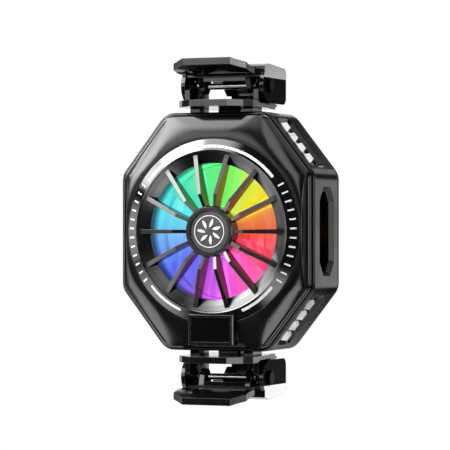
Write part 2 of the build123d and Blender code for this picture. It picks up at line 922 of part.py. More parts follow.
# Cooling stack from the fins to the soft pad
heatsink = block(-sink_half, sink_half, fin_back_y, sink_back_y, -sink_half, sink_half)
fin_step = (2 * sink_half - fin_thickness) / (fin_count - 1)
for index in range(fin_count):
    fin_x = -sink_half + index * fin_step
    heatsink += block(fin_x, fin_x + fin_thickness, shelf_back_y, fin_back_y, -sink_half, sink_half)
export(heatsink, "heatsink")
tec_module = block(-module_half, module_half, sink_back_y, module_back_y, -module_half, module_half)
export(tec_module, "tec_module")
gasket_inner = 2 * (module_half + gasket_gap)
gasket_outline = Rectangle(2 * sink_half, 2 * sink_half) - Rectangle(gasket_inner, gasket_inner)
export(slab(gasket_outline, sink_back_y, module_back_y), "tec_gasket")
cold_plate = slab(RectangleRounded(2 * sink_half, 2 * sink_half, plate_corner), module_back_y, rear_front_y)
raised_outline = RectangleRounded(2 * raised_half, 2 * raised_half, plate_corner)
cold_plate += slab(raised_outline, rear_front_y, plate_back_y)
export(cold_plate, "cold_plate")
silicone_pad = slab(RectangleRounded(2 * pad_half, 2 * pad_half, plate_corner), plate_back_y, pad_face_y)
export(silicone_pad, "silicone_pad")

# Fan base: outer ring, corner lugs, struts, motor disc and bearing tube
strut = block(
    rotor_hub_radius - strut_width,
    opening_radius + strut_width / 2,
    base_front_y,
    base_back_y,
    -strut_width / 2,
    strut_width / 2,
)
lug = rod(lug_radius, base_front_y, base_back_y, lug_offset, lug_offset)
lug_bridge = block(
    lug_offset - 2 * lug_radius,
    lug_offset,
    base_front_y,
    base_back_y,
    lug_offset - 2 * lug_radius,
    lug_offset,
)
lug_bridge &= ring(lug_offset * math.sqrt(2), opening_radius, base_front_y, base_back_y)
fan_base = ring(base_ring_outer, opening_radius, base_front_y, base_back_y)
fan_base += rod(rotor_hub_radius, base_front_y, base_back_y)
fan_base += around(strut, strut_count)
fan_base += four_corners(lug)
fan_base += four_corners(lug_bridge)
fan_base += rod(motor_tube_radius, bearing_front_y, base_front_y)
fan_base -= rod(bearing_radius, bearing_front_y - cut_overrun, base_back_y - shaft_tail)
fan_base -= four_corners(
    rod(fan_screw_radius, base_front_y - cut_overrun, base_back_y, lug_offset, lug_offset)
)
export(fan_base, "fan_base")
fan_screw = rod(fan_screw_radius, base_front_y, shelf_back_y - shaft_tail, lug_offset, lug_offset)
fan_screw += rod(
    fan_screw_head,
    base_front_y - fan_screw_head_height,
    base_front_y,
    lug_offset,
    lug_offset,
)
export(four_corners(fan_screw), "fan_screws")
fan_bearing = ring(bearing_radius, shaft_radius + fit_gap, bearing_front_y, base_front_y)
export(fan_bearing, "fan_bearing")
motor_board_y = base_front_y - motor_board_thickness
export(ring(motor_board_radius, motor_tube_radius, motor_board_y, base_front_y), "motor_board")

# Stator: core with four poles and its windings
core_outline = Circle(motor_tube_radius + stator_hub_wall)
pole = Pos(stator_radius / 2, 0) * Rectangle(stator_radius - pole_depth, pole_neck)
for index in range(stator_poles):
    core_outline += Rot(0, 0, 360 * index / stator_poles) * pole
pole_rim = Circle(stator_radius) - Circle(stator_radius - pole_depth)
pole_cross = Rectangle(2 * stator_radius, pole_neck) + Rectangle(pole_neck, 2 * stator_radius)
pole_gaps = Rot(0, 0, 45) * pole_cross
core_outline += pole_rim - pole_gaps
core_outline -= Circle(motor_tube_radius)
stator_core = slab(core_outline, stator_front_y + pole_depth, stator_back_y - pole_depth)
export(stator_core, "stator_core")
winding_outline = Pos(winding_arm, 0) * Rectangle(winding_thickness, 2 * winding_radius)
winding_hole = Pos(winding_arm, 0) * Rectangle(winding_thickness, pole_neck)
winding = slab(winding_outline, stator_front_y, stator_back_y)
winding -= slab(winding_hole, stator_front_y + pole_depth, stator_back_y - pole_depth)
export(around(winding, stator_poles), "stator_windings")

# Rotor: shaft, magnet and a translucent impeller with pitched blades
shaft = rod(shaft_radius, rotor_front_y + rotor_hub_wall, base_front_y)
export(shaft, "fan_shaft")
magnet_front_y = rotor_back_y - magnet_length - shaft_tail
rotor_magnet = ring(magnet_outer, magnet_inner, magnet_front_y, rotor_back_y - shaft_tail)
export(rotor_magnet, "rotor_magnet")


def blade_section(chord, pitch, radius):
    """A thin curved section on a plane that faces outward at this radius."""
    front = (-chord / 2, 0)
    back = (chord / 2, 0)
    upper = ThreePointArc(front, (0, blade_camber + blade_thickness / 2), back)
    lower = ThreePointArc(back, (0, blade_camber - blade_thickness / 2), front)
    section = Rot(0, 0, pitch) * make_face([upper, lower])
    return Plane(origin=(0, blade_mid_y, radius), x_dir=(1, 0, 0), z_dir=(0, 0, 1)) * section


blade = loft([
    blade_section(blade_root_chord, blade_root_pitch, blade_root_radius),
    blade_section(blade_tip_chord, blade_tip_pitch, tip_radius),
])
impeller = turned([
    (shaft_radius, rotor_front_y + rotor_hub_wall),
    (0, rotor_front_y + rotor_hub_wall),
    (0, rotor_front_y),
    (rotor_hub_radius - edge_break, rotor_front_y),
    (rotor_hub_radius, rotor_front_y + edge_break),
    (rotor_hub_radius, rotor_back_y),
    (magnet_outer, rotor_back_y),
    (magnet_outer, rotor_front_y + rotor_hub_wall),
    (rotor_boss_radius, rotor_front_y + rotor_hub_wall),
    (rotor_boss_radius, rotor_front_y + rotor_boss_length),
    (shaft_radius, rotor_front_y + rotor_boss_length),
])
blade -= rod(magnet_outer + rotor_hub_wall / 2, rotor_front_y - cut_overrun, rotor_back_y + cut_overrun)
impeller += around(blade, blade_count)
export(impeller, "impeller")

# Control board and USB-C inlet on the left side
control_front_y = socket_mid_y + socket_half_y
control_board = block(
    -control_outer_x,
    -control_inner_x,
    control_front_y,
    control_front_y + board_thickness,
    -control_half_z,
    control_half_z,
)
chip_mid_x = (control_outer_x + control_inner_x) / 2
chip = block(
    -chip_mid_x - chip_size / 2,
    -chip_mid_x + chip_size / 2,
    control_front_y - chip_height,
    control_front_y,
    socket_half_z + chip_gap,
    socket_half_z + chip_gap + chip_size,
)
control_board += up_and_down(chip)
export(control_board, "control_board")
socket_back_x = -recess_floor_x + socket_length
socket_outer = Pos(socket_mid_y, 0) * RectangleRounded(
    2 * socket_half_y,
    2 * socket_half_z,
    socket_half_y - fit_gap,
)
socket_bore = Pos(socket_mid_y, 0) * RectangleRounded(
    2 * socket_half_y - 2 * socket_wall,
    2 * socket_half_z - 2 * socket_wall,
    socket_half_y - socket_wall - fit_gap,
)
usb_c_socket = along_x(socket_outer, -recess_floor_x, socket_back_x)
usb_c_socket -= along_x(socket_bore, -recess_floor_x - cut_overrun, socket_back_x - socket_floor)
usb_c_socket += block(
    socket_back_x - socket_floor - socket_tongue_length,
    socket_back_x - socket_floor / 2,
    socket_mid_y - socket_tongue_thickness / 2,
    socket_mid_y + socket_tongue_thickness / 2,
    -socket_tongue_half_z,
    socket_tongue_half_z,
)
export(usb_c_socket, "usb_c_socket")


def biarc(start, start_way, end, end_way):
    """Two arcs that join two points and keep both directions."""
    gap = end - start
    ways = start_way + end_way
    open_share = 2 * (1 - start_way.dot(end_way))
    along = gap.dot(ways)
    reach = (-along + math.sqrt(along * along + open_share * gap.dot(gap))) / open_share
    middle = (start + end + (start_way - end_way) * reach) / 2
    first = Edge.make_tangent_arc(start, start_way, middle)
    return [first, Edge.make_tangent_arc(middle, first.tangent_at(1), end)]


def coil_edges(point_at, way_at, turns):
    """A wound run made of a pair of arcs for each half turn or a little less."""
    edges = []
    halves = math.ceil(turns * 2)
    for index in range(halves):
        first = turns * index / halves
        last = turns * (index + 1) / halves
        edges += biarc(point_at(first), way_at(first), point_at(last), way_at(last))
    return edges


def tube_on(edges, radius):
    """One unbroken round tube along the edges."""
    path = Wire(edges)
    start = Plane(origin=path.position_at(0), z_dir=path.tangent_at(0))
    return sweep(start * Circle(radius), path=path)


def least_self_gap(points, wire, skip):
    """The least gap of a tube to itself, between points more than skip steps apart."""
    gaps = []
    for first, here in enumerate(points):
        for there in points[first + skip:]:
            gaps.append((there - here).length)
    return min(gaps) - wire


# Return spring of a clamp: pressed between the frame's wall and the foot as the clamp is drawn out
spring_top_z = frame_half_z - frame_wall - return_wire / 2 - return_end_gap
spring_low_z = rod_bottom_z + foot_thickness + return_wire / 2 + return_end_gap
return_pitch = (spring_top_z - spring_low_z) / return_turns
coil_samples = 24


def return_point(turn):
    angle = 2 * math.pi * turn
    return Vector(
        return_radius * math.cos(angle),
        rod_y + return_radius * math.sin(angle),
        spring_low_z + return_pitch * turn,
    )


def return_way(turn):
    angle = 2 * math.pi * turn
    round_trip = 2 * math.pi * return_radius
    return Vector(-round_trip * math.sin(angle), round_trip * math.cos(angle), return_pitch).normalized()


return_spring = tube_on(coil_edges(return_point, return_way, return_turns), return_wire / 2)
return_points = [return_point(step / coil_samples) for step in range(return_turns * coil_samples)]
print("return spring least self gap", least_self_gap(return_points, return_wire, coil_samples // 2))

# Torsion spring of a clamp, wound round the pin between an arm and an ear
lean = math.radians(torsion_lean)
torsion_turns = 1.5 - torsion_lean / 360
low_leg_z = carriage_high_z + torsion_wire / 2 + return_end_gap
low_leg_length = (pin_z - torsion_radius * math.cos(lean) - low_leg_z) / math.sin(lean)


def torsion_point(turn):
    angle = 2 * math.pi * turn
    return Vector(
        torsion_start_x - torsion_pitch * turn,
        pin_y + torsion_radius * math.sin(angle),
        pin_z + torsion_radius * math.cos(angle),
    )


def torsion_way(turn):
    angle = 2 * math.pi * turn
    round_trip = 2 * math.pi * torsion_radius
    return Vector(-torsion_pitch, round_trip * math.cos(angle), -round_trip * math.sin(angle)).normalized()


# A short upper leg, the turns, and a lower leg that leans forward on to the carriage
torsion_start = torsion_point(0)
torsion_end = torsion_point(torsion_turns)
upper_leg = Edge.make_line(torsion_start - torsion_way(0) * torsion_high_leg, torsion_start)
lower_leg = Edge.make_line(torsion_end, torsion_end + torsion_way(torsion_turns) * low_leg_length)
torsion_coil = coil_edges(torsion_point, torsion_way, torsion_turns)
torsion_spring = tube_on([upper_leg] + torsion_coil + [lower_leg], torsion_wire / 2)
torsion_points = [torsion_point(torsion_turns * step / coil_samples) for step in range(coil_samples + 1)]
print("torsion spring least self gap", least_self_gap(torsion_points, torsion_wire, coil_samples // 2))

# Carriage: nosed plate, two ears, guide legs and the return rod
carriage_outline = [
    (carriage_nose_half, carriage_front_y),
    (carriage_shoulder_half, carriage_shoulder_y),
    (carriage_half_x, carriage_side_y),
    (carriage_half_x, carriage_tail_y),
    (carriage_tail_half, carriage_tail_y + carriage_half_x - carriage_tail_half),
    (carriage_tail_half, carriage_back_y),
]
carriage_outline += [(-x, y) for x, y in reversed(carriage_outline)]
carriage = raised(Polygon(*carriage_outline, align=None), carriage_low_z, carriage_high_z)
ear_points = [
    (ear_front_y, carriage_high_z - edge_break),
    (ear_front_y, ear_step_z),
    (ear_back_y, carriage_high_z - edge_break),
]
ear_base = Polygon(*ear_points, align=None)
ear_outline = make_hull(ear_base.edges() + (Pos(pin_y, pin_z) * Circle(ear_radius)).edges())
ear = along_x(ear_outline, ear_inner_x, carriage_half_x)
leg = block(leg_inner_x, leg_outer_x, leg_front_y, leg_back_y, leg_bottom_z, carriage_low_z + edge_break)
leg = chamfer(leg.faces().sort_by(Axis.Z)[0].edges(), edge_break)
carriage += both_sides(ear)
carriage += both_sides(leg)
return_rod_height = carriage_low_z + edge_break - rod_bottom_z
carriage += Pos(0, rod_y, rod_bottom_z + return_rod_height / 2) * Cylinder(rod_radius, return_rod_height)
ear_cut_x = carriage_half_x + cut_overrun
carriage -= cross_bar(pin_radius, -ear_cut_x, ear_cut_x, pin_y, pin_z)
foot = Pos(0, rod_y, rod_bottom_z + foot_thickness / 2) * Cylinder(foot_radius, foot_thickness)
foot -= Pos(0, rod_y, rod_bottom_z) * Cylinder(rod_radius, 2 * foot_thickness + 2 * cut_overrun)

# Pin with a head on the right and a clip on the left, both just outside the cheeks
head_x = block_half_x + pin_end_gap
pin = cross_bar(pin_radius, -head_x - clip_thickness - edge_break, head_x, pin_y, pin_z)
pin_head = cross_bar(pin_head_radius, head_x, head_x + pin_head_length, pin_y, pin_z)
pin_head = fillet(pin_head.faces().sort_by(Axis.X)[-1].edges(), edge_break)
pin += pin_head
clip = cross_bar(clip_radius, -head_x - clip_thickness, -head_x, pin_y, pin_z)
clip -= cross_bar(pin_radius, -head_x - cut_overrun, -head_x + cut_overrun, pin_y, pin_z)
clip -= block(
    -head_x - cut_overrun,
    -head_x + cut_overrun,
    pin_y,
    pin_y + clip_radius + cut_overrun,
    pin_z - pin_radius / 2,
    pin_z + pin_radius / 2,
)

# Lever: swept finger plate, jaw block with cheeks, arms and the hook behind
def sweep_rise(radius, run):
    return radius - math.sqrt(radius * radius - run * run)


def swept_line(lift):
    """The plate's curve from its front edge to where it turns flat, lifted by part of its thickness."""
    radius = lever_sweep_radius - lift
    flat_z = lever_under_z + lift
    half_run = lever_sweep_run / 2
    start = (lever_front_y, flat_z + sweep_rise(radius, lever_sweep_run))
    middle = (lever_front_y + half_run, flat_z + sweep_rise(radius, half_run))
    return start, ThreePointArc(start, middle, (lever_flat_y, flat_z))


under_start, under_arc = swept_line(0)
over_start, over_arc = swept_line(lever_thickness)
plate_profile = make_face([
    under_arc,
    Line((lever_flat_y, lever_under_z), (block_front_y + edge_break, lever_under_z)),
    Line((block_front_y + edge_break, lever_under_z), (block_front_y + edge_break, block_front_z)),
    Line((block_front_y + edge_break, block_front_z), (lever_flat_y, lever_under_z + lever_thickness)),
    over_arc,
    Line(over_start, under_start),
])
plate_outline = [
    (lever_nose_half, lever_front_y - cut_overrun),
    (lever_nose_half, lever_front_y),
    (lever_half_x, lever_shoulder_y),
    (lever_half_x, lever_waist_y),
    (lever_neck_half, lever_neck_y),
    (lever_neck_half, block_front_y + edge_break),
]
plate_outline += [(-x, y) for x, y in reversed(plate_outline)]
plate_bounds = raised(
    Polygon(*plate_outline, align=None),
    lever_under_z - cut_overrun,
    block_ridge_z + cut_overrun,
)
lever_plate = along_x(plate_profile, -lever_half_x, lever_half_x) & plate_bounds
block_profile = Polygon(
    (block_front_y, block_under_z),
    (block_front_y, block_front_z),
    (block_ridge_y, block_ridge_z),
    (block_back_y - block_corner, block_back_z),
    (block_back_y, block_back_z - block_corner),
    (block_back_y, block_under_z),
    align=None,
)
jaw_block = along_x(block_profile, -block_half_x, block_half_x)
cheek_points = [
    (pin_y, cheek_bottom_z),
    (block_back_y, cheek_bottom_z),
    (block_back_y, block_back_z - block_roof),
    (block_front_y, block_back_z - block_roof),
]
cheek_base = Polygon(*cheek_points, align=None)
cheek_outline = make_hull(cheek_base.edges() + (Pos(pin_y, pin_z) * Circle(cheek_radius)).edges())
cheek = along_x(cheek_outline, block_half_x - cheek_thickness, block_half_x)
rear_corner = cheek.edges().filter_by(Axis.X).group_by(Axis.Z)[0].sort_by(Axis.Y)[-1]
cheek = fillet(rear_corner, cheek_corner)
arm_base = Pos(pin_y, block_under_z) * Rectangle(2 * arm_top_half_y, edge_break)
arm_outline = make_hull(arm_base.edges() + (Pos(pin_y, pin_z) * Circle(ear_radius)).edges())
arm = along_x(arm_outline, arm_inner_x, arm_outer_x)
hook_outline = Polygon(
    (-hook_top_half, hook_top_z),
    (-hook_low_half, hook_low_z),
    (hook_low_half, hook_low_z),
    (hook_top_half, hook_top_z),
    align=None,
)
hook = slab(hook_outline, hook_front_y, hook_back_y)
hook += block(-hook_low_half, hook_low_half, hook_back_y - hook_lip, hook_back_y, hook_lip_z, hook_low_z)
hook_pocket = block(
    hook_rib / 2,
    hook_low_half,
    block_back_y + hook_rib,
    hook_back_y - hook_lip,
    hook_pocket_floor_z,
    hook_top_z + cut_overrun,
)
hook -= both_sides(hook_pocket)
lever = jaw_block + lever_plate
lever += both_sides(cheek)
lever += both_sides(arm)
lever += hook
for rib_y in (rib_front_y, rib_back_y):
    lever += block(
        -arm_inner_x,
        arm_inner_x,
        rib_y,
        rib_y + rib_thickness,
        block_under_z - rib_depth,
        block_under_z,
    )
cheek_cut_x = block_half_x + cut_overrun
lever -= cross_bar(pin_radius + fit_gap, -cheek_cut_x, cheek_cut_x, pin_y, pin_z)

# Jaw pad: rubber on the hook's underside and lip
jaw_pad = block(
    -pad_grip_half,
    pad_grip_half,
    pad_front_y,
    hook_back_y - hook_lip,
    hook_low_z - pad_thickness,
    hook_low_z,
)
jaw_pad += block(
    -pad_grip_half,
    pad_grip_half,
    hook_back_y - hook_lip - pad_lip,
    hook_back_y - hook_lip,
    hook_lip_z,
    hook_low_z - pad_thickness,
)

clamp_pieces = {
    "carriage": carriage,
    "return_foot": foot,
    "return_spring": return_spring,
    "pivot_pin": pin,
    "pin_clip": clip,
    "torsion_springs": both_sides(torsion_spring),
    "lever": lever,
    "jaw_pad": jaw_pad,
}
for name, shape in clamp_pieces.items():
    export(shape, "upper_" + name)
    pieces = shape if isinstance(shape, list) else [shape]
    export([piece.mirror(Plane.XY) for piece in pieces], "lower_" + name)
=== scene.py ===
import bmesh
import bpy
import json
import math
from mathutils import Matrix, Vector


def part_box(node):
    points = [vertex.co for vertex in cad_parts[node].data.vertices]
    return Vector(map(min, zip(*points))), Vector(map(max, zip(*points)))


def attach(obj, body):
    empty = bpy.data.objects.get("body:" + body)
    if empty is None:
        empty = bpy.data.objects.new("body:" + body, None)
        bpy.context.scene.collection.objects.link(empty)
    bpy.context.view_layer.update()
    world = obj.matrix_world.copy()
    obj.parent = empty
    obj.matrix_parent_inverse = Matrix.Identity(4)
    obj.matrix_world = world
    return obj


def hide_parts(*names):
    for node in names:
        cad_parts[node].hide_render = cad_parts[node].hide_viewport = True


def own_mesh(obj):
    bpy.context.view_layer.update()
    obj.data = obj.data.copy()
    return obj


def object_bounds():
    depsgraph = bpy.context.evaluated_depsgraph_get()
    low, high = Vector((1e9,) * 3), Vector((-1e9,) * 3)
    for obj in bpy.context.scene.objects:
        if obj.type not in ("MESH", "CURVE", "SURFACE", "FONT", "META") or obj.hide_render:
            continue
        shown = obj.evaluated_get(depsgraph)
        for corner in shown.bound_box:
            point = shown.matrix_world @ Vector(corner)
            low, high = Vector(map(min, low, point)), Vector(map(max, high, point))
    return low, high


# Phone cooling fan: its camera, lights, finishes and printed marks, round the CAD's own pieces
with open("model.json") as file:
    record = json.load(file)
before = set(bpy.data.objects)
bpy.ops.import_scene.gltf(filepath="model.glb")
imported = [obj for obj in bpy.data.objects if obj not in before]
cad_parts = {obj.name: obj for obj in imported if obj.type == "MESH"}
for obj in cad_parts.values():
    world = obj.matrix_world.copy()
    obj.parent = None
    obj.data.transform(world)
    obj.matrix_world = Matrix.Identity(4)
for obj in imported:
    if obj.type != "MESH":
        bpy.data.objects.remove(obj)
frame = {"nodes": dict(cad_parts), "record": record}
cad_low, cad_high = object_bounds()
nodes = frame["nodes"]
mm = 0.001

# Places read from the frame
guard_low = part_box("fan_guard")[0]
ring_low, ring_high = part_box("trim_ring")
tube_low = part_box("light_diffuser")[0]
fin_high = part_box("heatsink")[1]
badge_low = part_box("hub_badge")[0]
spoke_crest = 1.1 * mm
hub_face_y = guard_low.y + spoke_crest

# Camera, measured from the photograph
picture_size = 450
hub_pixel = (208.7, 231.5)
pixels_per_mm = 3.7
camera_distance = 676 * mm
camera_yaw = math.radians(23.3)
sensor_width = 36.0


def make_camera():
    camera = bpy.data.objects.new("camera", bpy.data.cameras.new("camera"))
    bpy.context.scene.collection.objects.link(camera)
    away = Vector((math.sin(camera_yaw), -math.cos(camera_yaw), 0))
    camera.location = Vector((0, hub_face_y, 0)) + away * camera_distance
    camera.rotation_euler = (math.radians(90), 0, camera_yaw)
    focal_pixels = pixels_per_mm * camera_distance / mm
    camera.data.sensor_width = sensor_width
    camera.data.lens = focal_pixels / picture_size * sensor_width
    camera.data.shift_x = (picture_size / 2 - hub_pixel[0]) / picture_size
    camera.data.shift_y = (hub_pixel[1] - picture_size / 2) / picture_size
    bpy.context.scene.camera = camera


# Short calls for node trees
def add_node(tree, kind, inputs=None, **settings):
    made = tree.nodes.new(kind)
    for name, value in settings.items():
        setattr(made, name, value)
    for name, value in (inputs or {}).items():
        if isinstance(value, bpy.types.NodeSocket):
            tree.links.new(value, made.inputs[name])
        else:
            made.inputs[name].default_value = value
    return made


def calc(tree, operation, first, second=0.0):
    made = add_node(tree, "ShaderNodeMath", {0: first, 1: second}, operation=operation)
    return made.outputs[0]


def remap(tree, value, low, high, new_low=0.0, new_high=1.0):
    """The value, taken smoothly from one range to another."""
    made = add_node(
        tree,
        "ShaderNodeMapRange",
        {"Value": value, "From Min": low, "From Max": high, "To Min": new_low, "To Max": new_high},
        interpolation_type="SMOOTHSTEP",
    )
    return made.outputs["Result"]


def mix_colour(tree, share, first, second):
    made = add_node(tree, "ShaderNodeMix", data_type="RGBA")
    sockets = (made.inputs[0], made.inputs[6], made.inputs[7])
    for socket, value in zip(sockets, (share, first, second)):
        if isinstance(value, bpy.types.NodeSocket):
            tree.links.new(value, socket)
        else:
            socket.default_value = value
    return made.outputs[2]


def mix_shaders(tree, share, first, second):
    """Give the material this share of the second shader over the first."""
    mix = add_node(tree, "ShaderNodeMixShader", {0: share})
    tree.links.new(first.outputs[0], mix.inputs[1])
    tree.links.new(second.outputs[0], mix.inputs[2])
    tree.links.new(mix.outputs[0], tree.nodes["Material Output"].inputs["Surface"])


def grey(level):
    return (level, level, level, 1)


def split(tree, vector):
    """A vector's X, Y and Z."""
    return add_node(tree, "ShaderNodeSeparateXYZ", {0: vector}).outputs


def piece_coordinates(tree):
    return add_node(tree, "ShaderNodeTexCoord").outputs["Object"]


def new_material(name):
    material = bpy.data.materials.new(name)
    material.use_nodes = True
    return material, material.node_tree, material.node_tree.nodes["Principled BSDF"]


def tint(tree, surface, share, colour):
    """Lay a colour over the surface's own by this share."""
    base = surface.inputs["Base Color"].links[0].from_socket
    tree.links.new(mix_colour(tree, share, base, colour), surface.inputs["Base Color"])


# Relief, worn edges with a painted edge highlight, and painted shade in seams
noise_roughness = 0.55
bevel_samples = 4
edge_match = (0.98, 0.80)
groove_samples = 6
groove_reach = 0.9 * mm
groove_openness = (0.85, 0.5)
# A non-reflecting near-black: painted shade in seams and grooves, and a matte finish on dull
# regions
shade_and_matte_finish = {"Base Color": grey(0.003), "Roughness": 0.9, "IOR": 1.05}


def noise(tree, size, detail=3.0, stretch=(1, 1, 1), coordinates=None):
    """Noise whose features are about the given size in metres."""
    coordinates = coordinates or piece_coordinates(tree)
    inputs = {"Vector": coordinates, "Scale": stretch}
    scaled = add_node(tree, "ShaderNodeMapping", inputs).outputs[0]
    made = add_node(
        tree,
        "ShaderNodeTexNoise",
        {"Vector": scaled, "Scale": 1 / size, "Detail": detail, "Roughness": noise_roughness},
    )
    return made.outputs["Fac"]


def rounded_normal(tree, radius):
    return add_node(tree, "ShaderNodeBevel", {"Radius": radius}, samples=bevel_samples).outputs[0]


def set_normal(tree, surface, height, depth, edge):
    """Fine relief of this depth, over edges that look rounded by this radius."""
    bump = add_node(tree, "ShaderNodeBump", {"Height": height, "Distance": depth, "Strength": 1.0})
    if edge:
        tree.links.new(rounded_normal(tree, edge), bump.inputs["Normal"])
    tree.links.new(bump.outputs[0], surface.inputs["Normal"])


def edge_mask(tree, radius):
    """About 1 on edges and 0 on flat faces."""
    rounded = rounded_normal(tree, radius)
    true = add_node(tree, "ShaderNodeNewGeometry").outputs["Normal"]
    match = add_node(tree, "ShaderNodeVectorMath", {0: rounded, 1: true}, operation="DOT_PRODUCT")
    return remap(tree, match.outputs["Value"], *edge_match)


def paint_groove_shade_and_matte(tree, surface, also=None, outside=None):
    """Painted shade: a non-reflecting black in the seams and grooves that ambient occlusion finds,
    within the outside mask; and a matte black finish all over the also mask.
    """
    inputs = {"Distance": groove_reach}
    # Ambient occlusion finds the creases where shade falls; the black laid there is painted shade
    openness = add_node(tree, "ShaderNodeAmbientOcclusion", inputs, samples=groove_samples)
    share = remap(tree, openness.outputs["AO"], *groove_openness)
    if outside:
        share = calc(tree, "MULTIPLY", share, outside)
    if also:
        share = calc(tree, "MAXIMUM", share, also)
    mix_shaders(tree, share, surface, add_node(tree, "ShaderNodeBsdfPrincipled", shade_and_matte_finish))


# Plastics and metals
cloud_size = 9 * mm
edge_mask_radius = 0.25 * mm
edge_patch_size = 1.2 * mm
wear_roughness = 0.35
# Lighter grey on rubbed edges: a painted edge highlight, in patches as if worn
worn_edge_highlight_colour = (0.15, 0.15, 0.155, 1)
metal_cloud_size = 3 * mm
metal_darker = 0.72
metal_edge = 0.06 * mm
metal_grain_depth = 0.004 * mm
black = (0.0035, 0.0035, 0.004, 1)


def plastic(
    name, colour, roughness, spread, grain, grain_depth, ior=1.5, edge=0.12, edge_wear_and_highlight=0.0, groove_shade=True
):
    """A moulded plastic: grain in its relief and cloud in its gloss, with its sizes in mm.

    Where its edges are worn, they are rubbed rougher and painted lighter grey, the grey a painted
    edge highlight, and its seams get painted shade unless that is turned off.
    """
    material, tree, surface = new_material(name)
    cloud = noise(tree, cloud_size, 4.0)
    gloss = remap(tree, cloud, 0.3, 0.7, roughness - spread, roughness + spread)
    lighter = tuple(min(1.0, c * 1.35 + 0.001) for c in colour[:3]) + (1,)
    shade = mix_colour(tree, remap(tree, cloud, 0.35, 0.8), colour, lighter)
    # Worn edges: rougher from real rubbing, and lighter grey as a painted edge highlight; seams get
    # painted shade
    if edge_wear_and_highlight:
        patchy = remap(tree, noise(tree, edge_patch_size, 4.0), 0.4, 0.65)
        rubbed_and_highlighted = calc(tree, "MULTIPLY", edge_mask(tree, edge_mask_radius), patchy)
        rubbed_and_highlighted = calc(tree, "MULTIPLY", rubbed_and_highlighted, edge_wear_and_highlight)
        gloss = calc(tree, "ADD", gloss, calc(tree, "MULTIPLY", rubbed_and_highlighted, wear_roughness))
        shade = mix_colour(tree, rubbed_and_highlighted, shade, worn_edge_highlight_colour)
        if groove_shade:
            paint_groove_shade_and_matte(tree, surface)
    tree.links.new(gloss, surface.inputs["Roughness"])
    tree.links.new(shade, surface.inputs["Base Color"])
    surface.inputs["IOR"].default_value = ior
    set_normal(tree, surface, noise(tree, grain * mm, 2.0), grain_depth * mm, edge * mm)
    return material


def metal(name, colour, roughness, grain, stretch=(1, 1, 1)):
    """A metal with a drawn or milled grain in its gloss and relief, the grain's size in mm."""
    material, tree, surface = new_material(name)
    lines = noise(tree, grain * mm, 3.0, stretch)
    cloud = noise(tree, metal_cloud_size, 3.0)
    darker = tuple(c * metal_darker for c in colour[:3]) + (1,)
    shade = mix_colour(tree, remap(tree, cloud, 0.3, 0.75), colour, darker)
    gloss = remap(tree, lines, 0.25, 0.75, roughness * 0.6, roughness * 1.5)
    tree.links.new(shade, surface.inputs["Base Color"])
    tree.links.new(gloss, surface.inputs["Roughness"])
    surface.inputs["Metallic"].default_value = 1.0
    set_normal(tree, surface, lines, metal_grain_depth, metal_edge)
    return material


# Pieces with more than one finish, and where each finish starts
side_facing = (0.93, 0.99)
block_side_from = 12.0 * mm
cheek_top = 42.1 * mm
facet_grey = 0.8
cheek_dull_share = 0.95
pin_black_from = 11.95 * mm
pin_black = (0.012, 0.012, 0.013, 1)
head_dull_share = 0.7
funnel_from = 20.2 * mm
funnel_dull_share = 0.25
badge_paint_depth = 0.06 * mm
white_paint = grey(0.85)


def lever_material():
    """Glossy black, with dull cheeks and a plated facet on each side of the jaw block."""
    material = plastic("lever_shell", black, 0.10, 0.03, 0.8, 0.0006, 1.7, edge_wear_and_highlight=0.6, groove_shade=False)
    tree = material.node_tree
    surface = tree.nodes["Principled BSDF"]
    facing = split(tree, add_node(tree, "ShaderNodeNewGeometry").outputs["Normal"])
    place = split(tree, piece_coordinates(tree))
    across = calc(tree, "ABSOLUTE", place["X"])
    height = calc(tree, "ABSOLUTE", place["Z"])
    side = remap(tree, calc(tree, "ABSOLUTE", facing["X"]), *side_facing)
    side = calc(tree, "MULTIPLY", side, calc(tree, "GREATER_THAN", across, block_side_from))
    plated = calc(tree, "MULTIPLY", side, calc(tree, "GREATER_THAN", height, cheek_top))
    dull = calc(tree, "MULTIPLY", calc(tree, "SUBTRACT", side, plated), cheek_dull_share)
    tint(tree, surface, plated, grey(facet_grey))
    tree.links.new(plated, surface.inputs["Metallic"])
    # Painted shade in seams and grooves, and the cheeks made matte
    paint_groove_shade_and_matte(tree, surface, also=dull)
    return material


def pin_material():
    """Polished steel whose head and clip end are blackened, outside the cheeks."""
    material = metal("pin_steel", (0.80, 0.80, 0.82, 1), 0.12, 0.15, (0.08, 1, 1))
    tree = material.node_tree
    surface = tree.nodes["Principled BSDF"]
    across = calc(tree, "ABSOLUTE", split(tree, piece_coordinates(tree))["X"])
    outside = calc(tree, "GREATER_THAN", across, pin_black_from)
    tint(tree, surface, outside, pin_black)
    dull = calc(tree, "MULTIPLY", outside, head_dull_share)
    # Painted shade in the grooves of the blackened ends, and the ends made duller
    paint_groove_shade_and_matte(tree, surface, also=dull, outside=outside)
    return material


def guard_material():
    """Glossy black spokes in a funnel that is a little duller."""
    material = plastic("guard_shell", black, 0.22, 0.03, 0.9, 0.0006, 1.8, edge_wear_and_highlight=0.4, groove_shade=False)
    tree = material.node_tree
    place = split(tree, piece_coordinates(tree))
    funnel = calc(tree, "GREATER_THAN", axis_radius(tree, place), funnel_from)
    dull = calc(tree, "MULTIPLY", funnel, funnel_dull_share)
    # Painted shade in seams and grooves, and the funnel a little duller
    paint_groove_shade_and_matte(tree, tree.nodes["Principled BSDF"], also=dull)
    return material


def badge_material():
    """Grained dark disc with its raised pinwheel and circle in white paint."""
    material = plastic("hub_disc", (0.055, 0.055, 0.058, 1), 0.42, 0.06, 0.22, 0.012)
    tree = material.node_tree
    depth = split(tree, piece_coordinates(tree))["Y"]
    paint = calc(tree, "LESS_THAN", depth, badge_low.y + badge_paint_depth)
    tint(tree, tree.nodes["Principled BSDF"], paint, white_paint)
    return material


